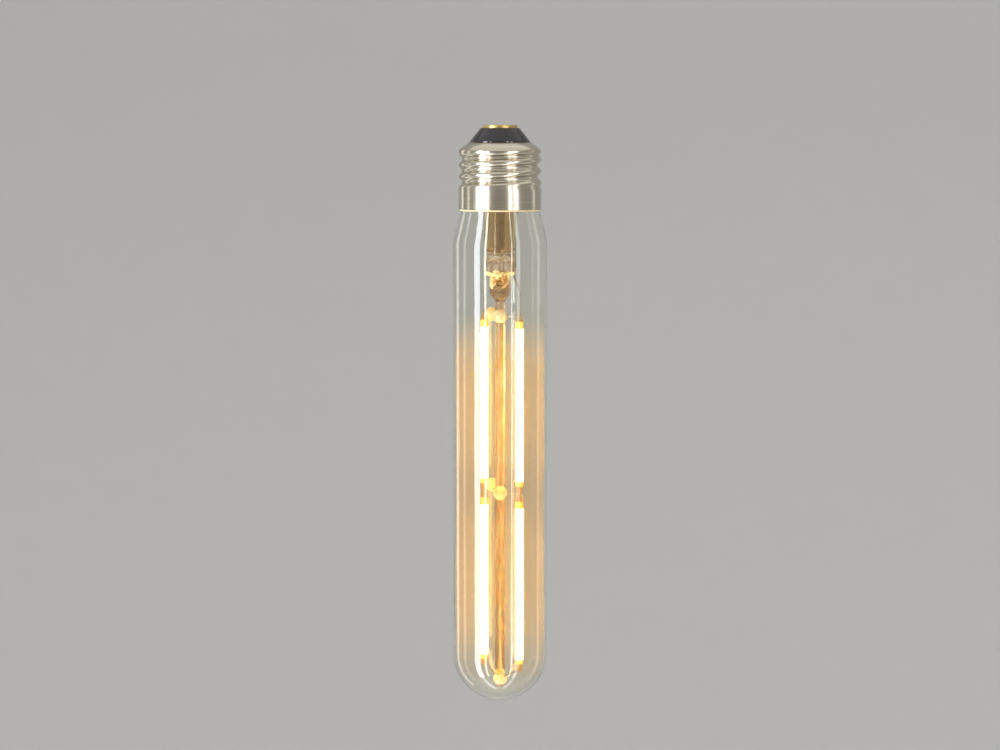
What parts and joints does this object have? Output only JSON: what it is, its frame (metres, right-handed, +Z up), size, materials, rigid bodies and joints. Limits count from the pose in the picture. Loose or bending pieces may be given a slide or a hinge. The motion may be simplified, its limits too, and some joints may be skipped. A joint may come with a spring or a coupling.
{
  "type": "tubular light bulb",
  "caption": "Clear tubular filament lamp with a domed end, a glass stem and rod carrying LED filaments in two columns, and a screw cap.",
  "frame": {"origin": "middle of the centre contact's flat face, at the top of the screw cap", "axes": "+Z up along the lamp's axis and out of the cap, -Y towards the front, +X to the right; the glass hangs down along -Z"},
  "size_m": [0.03, 0.03, 0.185],
  "materials": {
    "clear_glass": "blown, clear",
    "nickel_plated_shell": "drawn, nickel plated",
    "black_glass": "moulded black glass",
    "contact_brass": "stamped",
    "tin_solder": "flowed solder",
    "nickel_wire": "drawn wire",
    "board_laminate": "glass laminate",
    "capacitor_sleeve": "shrunk sleeve",
    "package_epoxy": "moulded epoxy",
    "resistor_ceramic": "coated ceramic",
    "tinned_copper": "tinned wire",
    "filament_phosphor": "cast silicone with phosphor, lit",
    "gilt_terminal": "stamped, gilt"
  },
  "bodies": {
    "root": {"glass_envelope": "clear_glass", "glass_stem": "clear_glass", "cap_shell": "nickel_plated_shell", "cap_insulator": "black_glass", "centre_contact": "contact_brass", "contact_solder": "tin_solder", "right_lead_wire": "nickel_wire", "left_lead_wire": "nickel_wire", "right_upper_support_wire": "nickel_wire", "left_upper_support_wire": "nickel_wire", "right_middle_support_wire": "nickel_wire", "left_middle_support_wire": "nickel_wire", "lower_bridge_wire": "nickel_wire", "driver_board": "board_laminate", "smoothing_capacitor": "capacitor_sleeve", "bridge_rectifier": "package_epoxy", "driver_chip": "package_epoxy", "fusible_resistor": "resistor_ceramic", "live_wire": "tinned_copper", "neutral_wire": "tinned_copper", "upper_right_filament": "filament_phosphor", "lower_right_filament": "filament_phosphor", "upper_left_filament": "filament_phosphor", "lower_left_filament": "filament_phosphor", "upper_right_filament_top_terminal": "gilt_terminal", "upper_right_filament_bottom_terminal": "gilt_terminal", "lower_right_filament_top_terminal": "gilt_terminal", "lower_right_filament_bottom_terminal": "gilt_terminal", "upper_left_filament_top_terminal": "gilt_terminal", "upper_left_filament_bottom_terminal": "gilt_terminal", "lower_left_filament_top_terminal": "gilt_terminal", "lower_left_filament_bottom_terminal": "gilt_terminal"}
  },
  "joints": []
}
